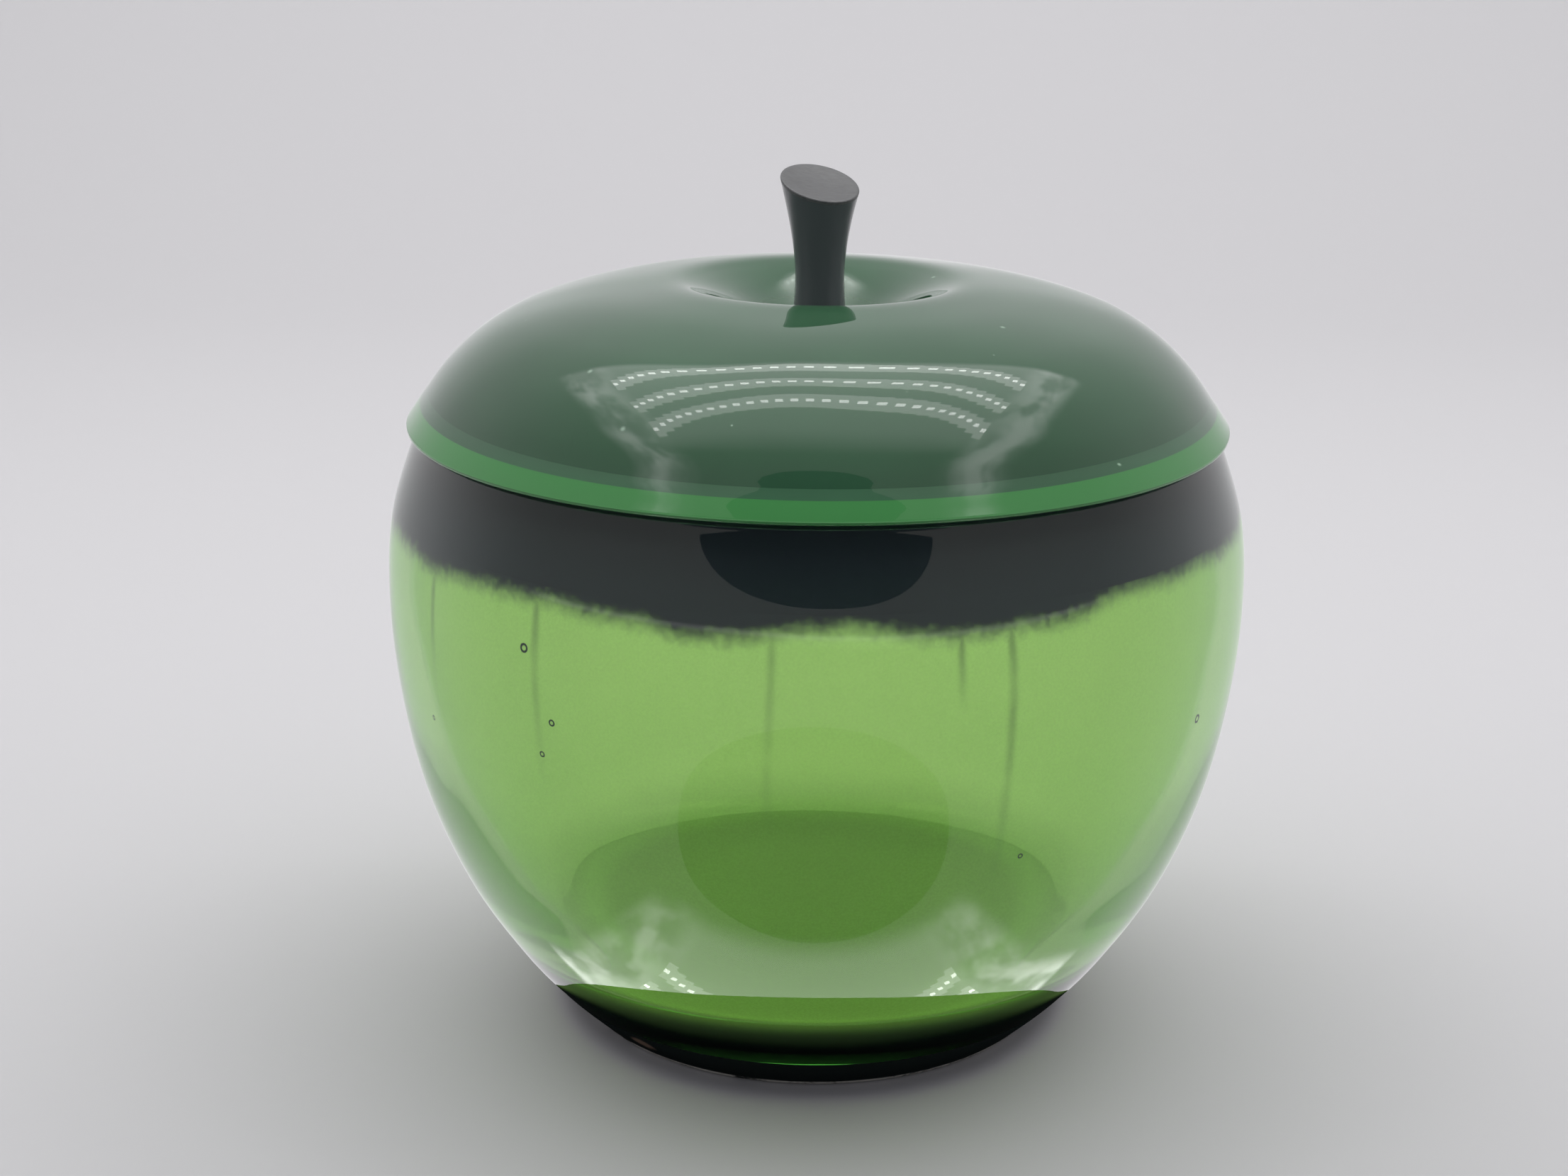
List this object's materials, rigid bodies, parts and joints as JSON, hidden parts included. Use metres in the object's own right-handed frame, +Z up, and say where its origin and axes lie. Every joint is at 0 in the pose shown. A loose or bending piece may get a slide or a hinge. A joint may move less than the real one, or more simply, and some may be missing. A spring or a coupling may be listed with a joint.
{
  "type": "lidded powder jar",
  "caption": "Round lidded vanity jar in clear and dark-green glass, enamelled inside, with a lift-off domed lid and a waisted finial.",
  "frame": {"origin": "centre of the resting face under the foot, on the jar's axis", "axes": "+Z up along the jar's axis, -Y towards the front, where the finial's ground top slopes down"},
  "size_m": [0.117, 0.117, 0.1174],
  "materials": {
    "bowl_glass": "clear, fire-polished",
    "green_enamel": "satin enamel seen through glass",
    "black_band_enamel": "satin enamel seen through glass",
    "foot_glass": "black, fire-polished, ground and worn at its edge",
    "lid_glass": "dark green, fire-polished",
    "lid_enamel": "satin enamel seen through glass",
    "stem_glass": "black, fire-polished, with a ground top"
  },
  "bodies": {
    "bowl": {"bowl_glass": "bowl_glass", "bowl_green_coat": "green_enamel", "bowl_black_band": "black_band_enamel", "foot": "foot_glass"},
    "lid": {"lid_glass": "lid_glass", "lid_coat": "lid_enamel", "stem": "stem_glass"}
  },
  "joints": [
    {"name": "lid_lift", "type": "slide", "parent": "bowl", "child": "lid", "axis": [0, 0, 1], "range_m": [0, 0.06]}
  ]
}
